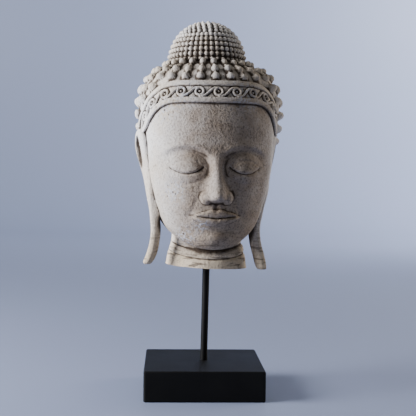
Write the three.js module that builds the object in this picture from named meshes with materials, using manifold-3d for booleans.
// A buddha head of cast stone, held over a black block plinth by a round rod.
// Millimetres, +Z up, with the face towards -Y. The origin is the middle of the plinth's underside.
import * as THREE from "three";
import { mergeVertices } from "three/addons/utils/BufferGeometryUtils.js";
import Module from "manifold-3d";

const wasm = await Module();
wasm.setup();

// Driving dimensions of the stand.
const plinthWidth = 130;
const plinthDepth = 130;
const plinthHeight = 33;
const plinthEdge = 1.2; // radius of its eased edges
const rodDiameter = 8;
const rodShown = 106; // between the plinth's top and the neck
const rodInPlinth = 24;
const rodInHead = 75;
const rodOffset = 1; // how far right of the plinth's middle the rod stands
const rodLean = 0.87; // degrees, to the right; the head on it stands upright
const clearance = 0.3; // between the rod and each of its holes

// The head is carved as shares of its height: every number below is for a head this tall.
const headHeight = 273;
const carvedHeight = 273;

// The egg of skull and face, from under the chin to the crown: height, half width, front, back.
const eggOutline = [
  [22, 0, -50, -50],
  [23.5, 13, -59.5, -38],
  [28, 26, -64.5, -18],
  [36, 39, -68, 2],
  [48, 50.5, -71, 32],
  [64, 59, -74.5, 60],
  [84, 65.5, -77.5, 76],
  [106, 70, -79.5, 84],
  [130, 72.8, -80, 89],
  [154, 74.2, -78.5, 90],
  [176, 73.5, -74, 86],
  [195, 68.5, -66.5, 76],
  [210, 59, -56, 62],
  [221, 46.5, -42.5, 46],
  [228, 29, -24, 29],
  [231, 0, 4, 4],
];
const sectionPower = 2.2; // of the superellipse that each level section follows

// The neck, from its cut to inside the skull: height, half width, front, back.
const neckOutline = [
  [0, 45.5, -45, 51],
  [7, 43.2, -43.2, 49.4],
  [17, 40.4, -41, 47.6],
  [32, 38.4, -39.6, 46.6],
  [64, 40.5, -41, 46],
];
const neckCutSlope = 0.044; // the cut falls to the right by this much of its width
const neckFolds = { heights: [10.5, 20.5], rise: 6.5, depths: [1.4, 1.6], width: 1.2 };

// Hair.
const headTurn = 5; // degrees that the face is turned towards the viewer's right
const napeWaist = 0.14; // how much narrower the skull is behind the ears, as a share
const curlSpacing = 14.8; // along a row
const curlRows = [63, 75, 88, 101.5, 115, 128.5, 142, 155.5, 169, 182, 194, 204.5, 213, 221];
const curlHeight = 7.6; // over the egg, at the tip
const crownFrom = 200; // height from which the curls stand in columns
const crownColumns = 26;
const ribHeight = 3.6; // of the ribs that join the columns' curls
const hairSwell = { left: 2.8, right: 5.5 }; // how much further out than the egg it stands over the temples
const hairTop = 227; // height of the hair's uppermost level, inside the crown dome
const domeBase = 218; // the height where the crown dome starts, inside the skull
const domeRadius = 42.8; // at the foot of its knobs
const domeTop = 273;
const domePlace = { x: -1.2, y: 4 }; // where its middle stands
const domeFullness = 0.91; // 1 for an ellipse's profile, less for a squarer one
const knobColumns = 44;
const knobSpacing = 5.9; // up the dome
const knobHeight = 2.4;

// Ears.
const lobeTips = { left: 4.5, right: -1.5 }; // heights of the lobes' ends against the neck's cut
const leftEarOut = { top: 1, low: 3 }; // how much further out the left ear stands than the right one
const earHollow = {
  height: 126,
  side: 73.4,
  back: -13.2,
  depth: 6.5,
  halfWidth: 8,
  halfHeight: 19,
  turn: -14,
  lean: 9.5,
};
const lobeShift = -4.4; // both lobes hang this far to the right of their places, so left if negative

// The carved band that follows the hairline.
const bandHalfWidth = 13;
const bandField = 6.4; // half width of its sunk field
const bandLegAzimuth = 77; // degrees from the front, where its ends meet the ears
const scrollPitch = 19.5;
const scrollEye = 4.3; // radius of a scroll's ring
const scrollCord = 1.5; // half width of its raised cord
// The hair's edge, which is the band's middle line as far as the ears: degrees from the front, height.
const hairLine = [
  [0, 188],
  [20, 188.2],
  [34, 188],
  [45, 185],
  [54, 178.5],
  [62, 169.5],
  [70, 160],
  [77, 150.5],
  [88, 110],
  [100, 62],
  [125, 58],
  [180, 58],
];

const rad = THREE.MathUtils.degToRad;

// Small functions for shapes

const bell = (distance, width) => Math.exp(-0.5 * (distance / width) ** 2);

const ease = (value, from, to) => {
  const t = Math.min(1, Math.max(0, (value - from) / (to - from)));
  return t * t * (3 - 2 * t);
};

const dome = (value) => Math.sqrt(Math.max(0, value));

// A smooth curve through stations, as a function of the station's number: a natural cubic spline.
function splineThrough(stations) {
  const last = stations.length - 1;
  const bends = stations[0].map((_, c) => {
    const factor = [0];
    const slope = [0];
    for (let i = 1; i < last; i++) {
      const p = 0.5 * factor[i - 1] + 2;
      const d = stations[i + 1][c] - 2 * stations[i][c] + stations[i - 1][c];
      factor.push(-0.5 / p);
      slope.push((3 * d - 0.5 * slope[i - 1]) / p);
    }
    const bend = new Array(last + 1).fill(0);
    for (let i = last - 1; i > 0; i--) bend[i] = factor[i] * bend[i + 1] + slope[i];
    return bend;
  });
  return (k) => {
    const i = Math.min(last - 1, Math.max(0, Math.floor(k)));
    const b = k - i;
    const a = 1 - b;
    return stations[i].map((_, c) => {
      const ends = a * stations[i][c] + b * stations[i + 1][c];
      return ends + ((a ** 3 - a) * bends[c][i] + (b ** 3 - b) * bends[c][i + 1]) / 6;
    });
  };
}

// A smooth curve through stations, looked up by its first column, which rises from end to end.
function lookUp(stations) {
  const smooth = splineThrough(stations);
  const samples = 600;
  const table = Array.from({ length: samples + 1 }, (_, i) => smooth((i * (stations.length - 1)) / samples));
  return (value) => {
    let low = 0;
    let high = samples;
    while (high - low > 1) {
      const middle = (low + high) >> 1;
      if (table[middle][0] > value) high = middle;
      else low = middle;
    }
    const share = (value - table[low][0]) / (table[high][0] - table[low][0]);
    const t = Math.min(1, Math.max(0, share));
    return table[low].map((v, c) => v + t * (table[high][c] - v));
  };
}

// The level section of an outline at a height.
function sectionsOf(outline) {
  const at = lookUp(outline);
  return (height) => {
    const [, halfWidth, front, back] = at(height);
    return { halfWidth, middle: (front + back) / 2, halfDepth: (back - front) / 2 };
  };
}

// The point of a section in a direction, by azimuth from the front, positive to the right.
function onSection({ halfWidth, middle, halfDepth }, azimuth, height, out = 0) {
  const s = Math.sin(azimuth);
  const c = Math.cos(azimuth);
  const w = Math.max(halfWidth, 1e-3);
  const d = Math.max(halfDepth, 1e-3);
  const share = Math.abs(s / w) ** sectionPower + Math.abs(c / d) ** sectionPower;
  const reach = share ** (-1 / sectionPower) + out;
  return new THREE.Vector3(reach * s, middle - reach * c, height);
}

// Closed rings, bottom to top, with a fan over each end. Each ring runs round from the front, and
// rings of unlike lengths are stitched by how far round their points are.
function loft(rings, bottomPoint, topPoint, shares = rings.map(evenShares)) {
  const points = [...rings.flat(), bottomPoint, topPoint];
  const faces = [];
  let start = 0;
  for (let r = 0; r + 1 < rings.length; r++) {
    const low = { start, shares: shares[r] };
    const high = { start: start + rings[r].length, shares: shares[r + 1] };
    faces.push(...stitch(points, low, high));
    start = high.start;
  }
  const bottom = points.length - 2;
  for (let i = 0; i < rings[0].length; i++) faces.push(bottom, (i + 1) % rings[0].length, i);
  const count = points.length - 2 - start;
  for (let i = 0; i < count; i++) faces.push(bottom + 1, start + i, start + ((i + 1) % count));
  return new THREE.BufferGeometry().setFromPoints(points).setIndex(faces);
}

const evenShares = (ring) => ring.map((_, i) => i / ring.length);

// The faces between two rings. The ring whose next point comes first takes the next face, and where
// both come together the crease goes over the corners that stand further out.
function stitch(points, low, high) {
  const faces = [];
  const [lows, highs] = [low.shares.length, high.shares.length];
  const following = ({ shares }, i) => (i + 1 < shares.length ? shares[i + 1] : 1 + shares[0]);
  const reach = (i) => Math.hypot(points[i].x, points[i].y);
  let i = 0;
  let j = 0;
  while (i < lows || j < highs) {
    const here = low.start + (i % lows);
    const ahead = low.start + ((i + 1) % lows);
    const above = high.start + (j % highs);
    const aboveAhead = high.start + ((j + 1) % highs);
    const lead = following(high, j) - following(low, i);
    const together = Math.abs(lead) < 0.3 / lows;
    const overHere = reach(here) + reach(aboveAhead) > reach(ahead) + reach(above);
    const lowIsNext = together ? !overHere : lead > 0;
    if (j >= highs || (i < lows && lowIsNext)) {
      faces.push(here, ahead, above);
      i += 1;
    } else {
      faces.push(here, aboveAhead, above);
      j += 1;
    }
  }
  return faces;
}

const middleOf = (ring) => ring.reduce((sum, p) => sum.add(p), new THREE.Vector3()).divideScalar(ring.length);

// Solids for joining and cutting

function solidOf(geometry) {
  const bare = geometry.clone();
  bare.deleteAttribute("normal");
  bare.deleteAttribute("uv");
  const merged = mergeVertices(bare, 1e-4);
  const mesh = new wasm.Mesh({
    numProp: 3,
    vertProperties: new Float32Array(merged.attributes.position.array),
    triVerts: new Uint32Array(merged.index.array),
  });
  return new wasm.Manifold(mesh);
}

function geometryOf(solid) {
  const { vertProperties, triVerts } = solid.getMesh();
  const geometry = new THREE.BufferGeometry();
  geometry.setAttribute("position", new THREE.BufferAttribute(vertProperties, 3));
  geometry.setIndex(new THREE.BufferAttribute(triVerts, 1));
  return geometry;
}

// The face

// How far the face stands out of the egg, towards the front, at a place on it.
function faceRelief(x, z) {
  const side = Math.abs(x);
  const muzzle = 4 * bell(side, 20) * bell(z - 60, 15);
  const cheeks = 3 * bell(side - 36, 15) * bell(z - 82, 15);
  const chin = 5 * bell(side, 13) * bell(z - 33, 8) - 2.4 * bell(side, 15) * bell(z - 43, 3.6);
  return muzzle + cheeks + chin + eyes(side, z) + nose(side, z) + mouth(side, z);
}

function eyes(side, z) {
  const browHeight = 131 - 9 * ((side - 32) / 26) ** 2;
  const below = ease(browHeight - z, -3, 7) * (1 - ease(browHeight - z, 10, 34));
  const socket = (2.4 + 3.2 * bell(side - 16, 10)) * below * (1 - ease(side, 46, 62)) * ease(side, 2, 12);
  const ball = 5 * Math.max(0, 1 - ((side - 31) / 22) ** 2 - ((z - 109) / 16) ** 2) ** 0.8;
  const lidHeight = 103 + 6 * ((side - 31) / 16) ** 2;
  const lidShare = 1 - ease(Math.abs(side - 31), 14, 18);
  const lid = 1.8 * (ease(z - lidHeight, -1.5, 1) - 1) * bell(Math.min(0, z - lidHeight), 6);
  return ball - socket + lid * lidShare;
}

function nose(side, z) {
  const down = ease(124 - z, 0, 44);
  const height = (3.5 + 13 * down ** 1.2) * ease(z, 71.5, 77) * (1 - ease(z, 108, 136));
  const halfWidth = 6.5 + 5 * ease(110 - z, 0, 34);
  const ridge = height * Math.exp(-((side / halfWidth) ** 2.6));
  const tip = 3.5 * bell(side, 6.5) * bell(z - 80.5, 5);
  const wing = 9 * dome(1 - ((side - 11.5) / 6.2) ** 2 - ((z - 78.5) / 7) ** 2);
  return Math.max(ridge + tip * ease(z, 71, 76), wing);
}

function mouth(side, z) {
  const parting = 57 + 2.2 * (side / 25) ** 2;
  const upperEdge = 65.5 + 1.2 * bell(side - 5, 3) - 6 * (side / 25) ** 2;
  const lowerEdge = 47.5 + 9 * (side / 25) ** 2;
  const share = 1 - ease(side, 22, 27);
  const upper = 4.4 * ease(z, parting - 0.5, parting + 2) * (1 - ease(z, upperEdge - 2.5, upperEdge + 0.5));
  const lower = 4.4 * ease(z, lowerEdge - 1, lowerEdge + 3) * (1 - ease(z, parting - 2, parting + 0.5));
  const corner = 2.2 * bell(side - 27, 3) * bell(z - 59, 3);
  const philtrum = 0.9 * bell(side, 2.2) * bell(z - 69, 3);
  return share * Math.max(upper, lower) - corner - philtrum;
}

// Where the hair ends

const hairLineAt = lookUp(hairLine);
const hairEdge = (azimuth) => hairLineAt(Math.abs(THREE.MathUtils.radToDeg(azimuth)))[1];

const eggAt = sectionsOf(eggOutline);
const neckAt = sectionsOf(neckOutline);

// The bare egg's surface, which the band and the curls stand on.
function eggPoint(azimuth, height, out = 0) {
  const p = onSection(eggAt(height), azimuth, height, out);
  p.x *= 1 - napeWaist * ease(p.y, -5, 45) * (1 - ease(height, 110, 165));
  return p;
}

function eggNormal(azimuth, height) {
  const step = 0.01;
  const along = eggPoint(azimuth + step, height).sub(eggPoint(azimuth - step, height));
  const up = eggPoint(azimuth, height + 1).sub(eggPoint(azimuth, height - 1));
  return along.cross(up).normalize();
}

// Parts of the head

function makeEgg() {
  const right = [3, 6, 9, 13, 17, 21, 26, 31, 37, 43, 50, 58, 67, 78, 92, 110, 132, 155];
  const azimuths = [0, ...right, 180, ...right.map((turn) => -turn).reverse()].map(rad);
  const heights = [
    [22.6, 24.5, 28, 32, 37, 43, 46.5, 50, 54, 57, 60, 64, 68, 72.5, 75, 79, 83, 89, 96],
    [101, 103.5, 108, 113, 118, 123, 128, 133, 140, 150, 163, 180, 200, 221],
  ].flat();
  const rings = heights.map((height) =>
    azimuths.map((azimuth) => {
      const p = eggPoint(azimuth, height);
      p.y -= faceRelief(p.x, height) * (1 - ease(Math.abs(azimuth), rad(60), rad(85)));
      return p;
    }),
  );
  const chin = eggOutline[0];
  const crown = eggOutline[eggOutline.length - 1];
  return loft(rings, new THREE.Vector3(0, chin[2], chin[0]), new THREE.Vector3(0, crown[2], crown[0]));
}

// How deep the folds cut into the neck at a height.
function neckCrease(height) {
  const { heights, depths, width } = neckFolds;
  return heights.reduce((sum, fold, i) => sum + depths[i] * bell(height - fold, width), 0);
}

function makeNeck() {
  const azimuths = Array.from({ length: 24 }, (_, i) => rad(15 * i));
  const heights = [0, 5, 8.5, 10.5, 12.5, 16, 18.5, 20.5, 22.5, 30, 45, 64];
  const rings = heights.map((height) =>
    azimuths.map((azimuth) => {
      const inFront = ease(Math.cos(azimuth), -0.3, 0.3);
      const p = onSection(neckAt(height), azimuth, height, -inFront * neckCrease(height));
      p.z += neckFolds.rise * Math.sin(azimuth) ** 2 * ease(height, 0, 9) * (1 - ease(height, 22, 40));
      p.z -= neckCutSlope * p.x * (1 - ease(height, 0, 18));
      return p;
    }),
  );
  return loft(rings, middleOf(rings[0]), middleOf(rings[rings.length - 1]));
}

// The dome's radius and height at a turn up its profile, in degrees.
function domeProfile(turn) {
  const radius = domeRadius * Math.cos(rad(turn)) ** domeFullness;
  const height = domeBase + (domeTop - knobHeight - domeBase) * Math.sin(rad(turn)) ** domeFullness;
  return [radius, height];
}

// Turns up the dome's profile at equal steps of half the knobs' spacing.
function domeTurns() {
  const turns = [0];
  let walked = 0;
  for (let turn = 0; turn < 87; turn += 0.25) {
    const [radius, height] = domeProfile(turn);
    const [nextRadius, nextHeight] = domeProfile(turn + 0.25);
    walked += Math.hypot(nextRadius - radius, nextHeight - height);
    if (walked < knobSpacing / 2) continue;
    walked -= knobSpacing / 2;
    turns.push(turn + 0.25);
  }
  return turns;
}

// The crown dome, studded with small knobs in rows and columns that run into each other.
function makeDome() {
  const rings = [];
  const shares = [];
  domeTurns().forEach((turn, level) => {
    const [radius, height] = domeProfile(turn);
    const inStep = radius > 0.7 * domeRadius;
    const knobs = inStep ? knobColumns : Math.max(4, Math.round((knobColumns * radius) / domeRadius));
    const between = level % 2 === 0;
    const count = between ? knobs : 2 * knobs;
    const ringShares = Array.from({ length: count }, (_, i) => (i + (between ? 0.5 : 0)) / count);
    shares.push(ringShares);
    rings.push(
      ringShares.map((share, i) => {
        const around = share * 2 * Math.PI;
        const out = between || i % 2 === 1 ? 0 : knobHeight;
        const direction = new THREE.Vector3(Math.sin(around), -Math.cos(around), Math.tan(rad(turn)));
        const foot = new THREE.Vector3(Math.sin(around) * radius, -Math.cos(around) * radius, height);
        foot.x += domePlace.x;
        foot.y += domePlace.y;
        return foot.addScaledVector(direction.normalize(), out);
      }),
    );
  });
  const bottom = new THREE.Vector3(domePlace.x, domePlace.y, domeBase);
  const top = new THREE.Vector3(domePlace.x, domePlace.y, domeTop);
  return loft(rings, bottom, top, shares);
}

// The hair's surface: rows of curls, each curl a tip among low places, with a low level between rows.
// On the crown the curls stand in columns, joined by ribs. Under the face it lies deep inside the egg.
function makeHair() {
  const rings = [];
  const shares = [];
  curlRows.forEach((height, row) => {
    const onCrown = height > crownFrom;
    const between = (height + (curlRows[row + 1] ?? hairTop)) / 2;
    const line = ringLine(height);
    const count = onCrown ? crownColumns : Math.round(line.total / curlSpacing);
    const shift = onCrown ? 0 : 0.5 * (row % 2);
    const tips = Array.from({ length: 2 * count }, (_, i) => (i / 2 + shift) / count);
    const lows = onCrown ? tips : Array.from({ length: count }, (_, i) => (i + 0.5 - shift) / count);
    shares.push(tips, lows);
    rings.push(hairRing(line, tips, height, curlHeight));
    rings.push(hairRing(ringLine(between), lows, between, ribHeight));
  });
  return loft(rings, middleOf(rings[0]), new THREE.Vector3(0, domePlace.y, hairTop), shares);
}

// A level line round the egg: its points, the length to each of them and its total length.
function ringLine(height) {
  const steps = 360;
  const points = Array.from({ length: steps + 1 }, (_, i) => eggPoint((i * 2 * Math.PI) / steps, height));
  const lengths = [0];
  for (let i = 0; i < steps; i++) lengths.push(lengths[i] + points[i].distanceTo(points[i + 1]));
  return { lengths, total: lengths[steps] };
}

// A ring of the hair at equal steps of length, on which every other point is raised: the tips in a
// row of curls, and the ribs between two rows on the crown.
function hairRing(line, shares, height, raise) {
  return shares.map((share, i) => {
    const turned = rad(Math.max(0, line.lengths.findIndex((length) => length >= (share % 1) * line.total)));
    const azimuth = turned > Math.PI ? turned - 2 * Math.PI : turned;
    const raised = i % 2 === 0 && (raise === curlHeight || height > crownFrom) && isClear(azimuth, height);
    const deep = -12 * ease(hairEdge(azimuth) - height, -1, 5);
    return eggPoint(azimuth, height, deep + swellAt(azimuth, height) + (raised ? raise : 0.8));
  });
}

// How much further out the whole hair stands over the temples, clear of the band.
function swellAt(azimuth, height) {
  const side = Math.sin(azimuth);
  const most = side > 0 ? hairSwell.right : hairSwell.left;
  const above = side > 0 ? ease(height, 120, 145) : ease(height, 160, 185);
  const offBand = ease(toBandLine(azimuth, height), bandHalfWidth, bandHalfWidth + 6);
  return most * ease(Math.abs(side), 0.5, 0.95) * above * (1 - ease(height, 207, 220)) * offBand;
}

// Whether a curl here is clear of the band, the ear and the bare skin of the nape.
function isClear(azimuth, height) {
  const offBand = toBandLine(azimuth, height) > bandHalfWidth + 3;
  const earBack = rad(height > 135 ? 89 : 97);
  const onEar = Math.abs(azimuth) < earBack && height < 150;
  return offBand && !onEar && height > hairEdge(azimuth) + 2;
}

// The band's middle line on the egg, as azimuths, and its points.
const bandAzimuths = Array.from({ length: 49 }, (_, i) => rad(bandLegAzimuth * (i / 24 - 1)));
const bandLine = bandAzimuths.map((azimuth) => eggPoint(azimuth, hairEdge(azimuth)));

function toBandLine(azimuth, height) {
  const place = eggPoint(azimuth, height);
  return Math.min(...bandLine.map((p) => p.distanceTo(place)));
}

// The lengths along the band's middle line, from its left end.
const bandLengths = [0];
for (let i = 1; i < bandLine.length; i++) {
  bandLengths.push(bandLengths[i - 1] + bandLine[i].distanceTo(bandLine[i - 1]));
}

// A place on the band: along its middle line, across it towards the crown, and out of the egg.
function onBand(along, across, out) {
  const last = bandLine.length - 1;
  let i = Math.min(last - 1, Math.max(0, bandLengths.findIndex((length) => length > along) - 1));
  if (along >= bandLengths[last]) i = last - 1;
  const t = (along - bandLengths[i]) / (bandLengths[i + 1] - bandLengths[i]);
  const azimuth = bandAzimuths[i] + t * (bandAzimuths[i + 1] - bandAzimuths[i]);
  const height = hairEdge(azimuth);
  const normal = eggNormal(azimuth, height);
  const step = rad(1);
  const ahead = eggPoint(azimuth + step, hairEdge(azimuth + step));
  const tangent = ahead.sub(eggPoint(azimuth - step, hairEdge(azimuth - step))).normalize();
  const towards = normal.clone().cross(tangent).normalize();
  const target = eggPoint(azimuth, height).addScaledVector(towards, across);
  // Brought back to the egg at the same height.
  const section = eggAt(target.z);
  const bearing = Math.atan2(target.x, section.middle - target.y);
  return eggPoint(bearing, target.z).addScaledVector(eggNormal(bearing, target.z), out);
}

function makeBand() {
  const half = bandHalfWidth;
  const profile = [
    [-half, -3],
    [-half + 0.4, 2.6],
    [-half + 2.6, 3.4],
    [-bandField - 0.5, 3.4],
    [-bandField + 0.7, 1.3],
    [bandField - 0.7, 1.3],
    [bandField + 0.5, 3.4],
    [half - 2.6, 3.4],
    [half - 0.4, 2.6],
    [half, -3],
  ];
  const total = bandLengths[bandLengths.length - 1];
  const stations = 20;
  const rings = Array.from({ length: stations + 1 }, (_, i) =>
    profile.map(([across, out]) => onBand(total * (1 - i / stations), across, out)),
  );
  return loft(rings, middleOf(rings[0]), middleOf(rings[stations]));
}

// One scroll: a cord that leaves the foot of one ring, climbs to the next one and winds into it.
function makeScroll(start) {
  const path = [
    [0.5, -5.4],
    [5.5, -4.6],
    [13, 2.6],
    [16, 4.4],
  ];
  for (let turn = 90; turn >= -200; turn -= 72) {
    const wound = scrollEye * (1 - 0.3 * ease(-turn, 60, 200));
    path.push([scrollPitch + wound * Math.cos(rad(turn)), wound * Math.sin(rad(turn))]);
  }
  const rings = path.map(([along, across], i) => {
    const before = path[Math.max(0, i - 1)];
    const after = path[Math.min(path.length - 1, i + 1)];
    const heading = Math.atan2(after[1] - before[1], after[0] - before[0]);
    const half = scrollCord * (i === 0 ? 0.35 : 1);
    const aside = [-Math.sin(heading) * half, Math.cos(heading) * half];
    return [
      onBand(start + along + aside[0], across + aside[1], 0.4),
      onBand(start + along, across, 3.7),
      onBand(start + along - aside[0], across - aside[1], 0.4),
    ];
  });
  return loft(rings, middleOf(rings[0]), middleOf(rings[rings.length - 1]));
}

// The section of an ear, as shares of its half width from front to back and of its half thickness.
const earSection = [
  [-1, 0.1],
  [-0.85, 0.8],
  [-0.4, 1],
  [0.4, 1],
  [0.92, 0.75],
  [1, -0.1],
  [0.6, -1],
  [-0.6, -1],
];

// An ear with its long lobe, swept down the side of the head. Its front edge runs into the cheek.
// Stations: height, how far to the side, how far back, half width, half thickness, turn in degrees.
function makeEar(hand) {
  const tip = hand > 0 ? lobeTips.right : lobeTips.left;
  const stations = [
    [151, 71, -13, 5, 3, -12],
    [146, 71, -13, 12, 4.6, -13],
    [134, 70, -12, 16, 5, -14],
    [118, 67, -13, 15, 5, -14],
    [100, 63.5, -16, 12.5, 4.8, -12],
    [84, 61.5, -18.5, 10.5, 4.6, -6],
    [70, 58.5, -20.5, 9.2, 4.6, 4],
    [56, 56, -22, 8.6, 4.6, 16],
    [42, 54.4, -23, 8.3, 4.6, 23],
    [26, 56, -24, 8.2, 4.8, 24],
    [14, 59.4, -24, 8, 5, 24],
    [tip + 3, 62.4, -24, 7, 4.8, 24],
    [tip, 63.2, -24, 4, 3, 24],
  ];
  const smooth = splineThrough(stations);
  const count = 15;
  const rings = Array.from({ length: count + 1 }, (_, i) => {
    const [height, side, back, halfWidth, halfThick, turn] = smooth((i * (stations.length - 1)) / count);
    const leftOut = leftEarOut.top * ease(height, 90, 130) + leftEarOut.low * ease(height, 45, 80);
    const apart = hand > 0 ? 0 : leftOut;
    const shift = lobeShift * (1 - ease(height, 40, 90));
    const [c, n] = [Math.cos(rad(turn)), Math.sin(rad(turn))];
    const root = 1 + 1.6 * ease(height, 50, 66); // the inner side reaches into the head
    const ring = earSection.map(([across, out]) => {
      const u = across * halfWidth;
      const v = out * halfThick * (out < 0 ? root : 1);
      return new THREE.Vector3(hand * (side + apart + v * c - u * n) + shift, back + u * c + v * n, height);
    });
    return hand > 0 ? ring : ring.reverse();
  }).reverse();
  return loft(rings, middleOf(rings[0]), middleOf(rings[count]));
}

// What is cut out of an ear inside its rim.
function makeEarHollow(hand) {
  const { height, side, back, depth, halfWidth, halfHeight, turn, lean } = earHollow;
  const hollow = new THREE.SphereGeometry(1, 12, 8);
  hollow.rotateX(Math.PI / 2);
  hollow.scale(depth, halfWidth, halfHeight);
  hollow.rotateY(hand * rad(lean));
  hollow.rotateZ(hand * rad(turn));
  return hollow.translate(hand > 0 ? side : -side - leftEarOut.top - leftEarOut.low, back, height);
}

function makeHead() {
  const total = bandLengths[bandLengths.length - 1];
  const scrolls = Math.floor(total / scrollPitch);
  const firstScroll = (total - scrolls * scrollPitch) / 2 - 8;
  const forms = [makeEgg(), makeHair(), makeNeck(), makeDome(), makeBand(), makeEar(1), makeEar(-1)];
  for (let i = 0; i < scrolls; i++) forms.push(makeScroll(firstScroll + i * scrollPitch));
  const hollows = [makeEarHollow(1), makeEarHollow(-1)];
  const size = headHeight / carvedHeight;
  for (const form of [...forms, ...hollows]) form.scale(size, size, size);
  const joined = forms.map(solidOf).reduce((sum, form) => sum.add(form));
  // The outer body alone, so that no pocket is left sealed between two forms.
  const [carved] = joined.decompose().sort((a, b) => b.volume() - a.volume());
  const socket = makeHole(rodInHead + clearance).rotateY(rad(rodLean)).rotateZ(-rad(headTurn));
  const cuts = [socket, ...hollows].map(solidOf);
  return geometryOf(cuts.reduce((left, cut) => left.subtract(cut), carved));
}

// A round hole for the rod, to this depth above and below the level of its mouth.
function makeHole(depth) {
  const radius = rodDiameter / 2 + clearance;
  const hole = new THREE.CylinderGeometry(radius, radius, 2 * depth, 24);
  return hole.rotateX(Math.PI / 2);
}

function makePlinth(rodAxis) {
  const edge = plinthEdge;
  const x = plinthWidth / 2 - edge;
  const y = plinthDepth / 2 - edge;
  const outline = new THREE.Shape();
  outline.absarc(x - edge, y - edge, edge, 0, Math.PI / 2);
  outline.absarc(-x + edge, y - edge, edge, Math.PI / 2, Math.PI);
  outline.absarc(-x + edge, -y + edge, edge, Math.PI, 1.5 * Math.PI);
  outline.absarc(x - edge, -y + edge, edge, 1.5 * Math.PI, 2 * Math.PI);
  const block = new THREE.ExtrudeGeometry(outline, {
    depth: plinthHeight - 2 * edge,
    bevelThickness: edge,
    bevelSize: edge,
    bevelSegments: 1,
    curveSegments: 2,
  });
  block.translate(0, 0, edge);
  const hole = makeHole(rodInPlinth + clearance).applyMatrix4(rodAxis);
  return geometryOf(solidOf(block).subtract(solidOf(hole)));
}

function makeRod() {
  const length = rodInPlinth + rodShown + rodInHead;
  const rod = new THREE.CylinderGeometry(rodDiameter / 2, rodDiameter / 2, length, 24);
  rod.rotateX(Math.PI / 2);
  return rod.translate(0, 0, length / 2 - rodInPlinth);
}

// Materials and the finished group

const castStone = new THREE.MeshStandardMaterial({ color: 0xc9c2b6, roughness: 0.92, metalness: 0 });
const blackLacquer = new THREE.MeshStandardMaterial({ color: 0x0b0b0c, roughness: 0.6, metalness: 0 });
const blackIron = new THREE.MeshStandardMaterial({ color: 0x0d0d0e, roughness: 0.5, metalness: 0.6 });

// The rod and the head are placed in a leaning group whose origin is where the rod leaves the plinth.
const onRod = new THREE.Group();
onRod.position.set(rodOffset, 0, plinthHeight);
onRod.rotation.y = rad(rodLean);
onRod.updateMatrix();

const plinth = new THREE.Mesh(makePlinth(onRod.matrix), blackLacquer);
plinth.name = "plinth";

const rod = new THREE.Mesh(makeRod(), blackIron);
rod.name = "rod";

const head = new THREE.Mesh(makeHead(), castStone);
head.name = "head";
head.position.z = rodShown;
head.rotation.y = -rad(rodLean);
head.rotation.z = rad(headTurn);

onRod.add(rod, head);

const buddhaHead = new THREE.Group();
buddhaHead.add(plinth, onRod);

export default buddhaHead;
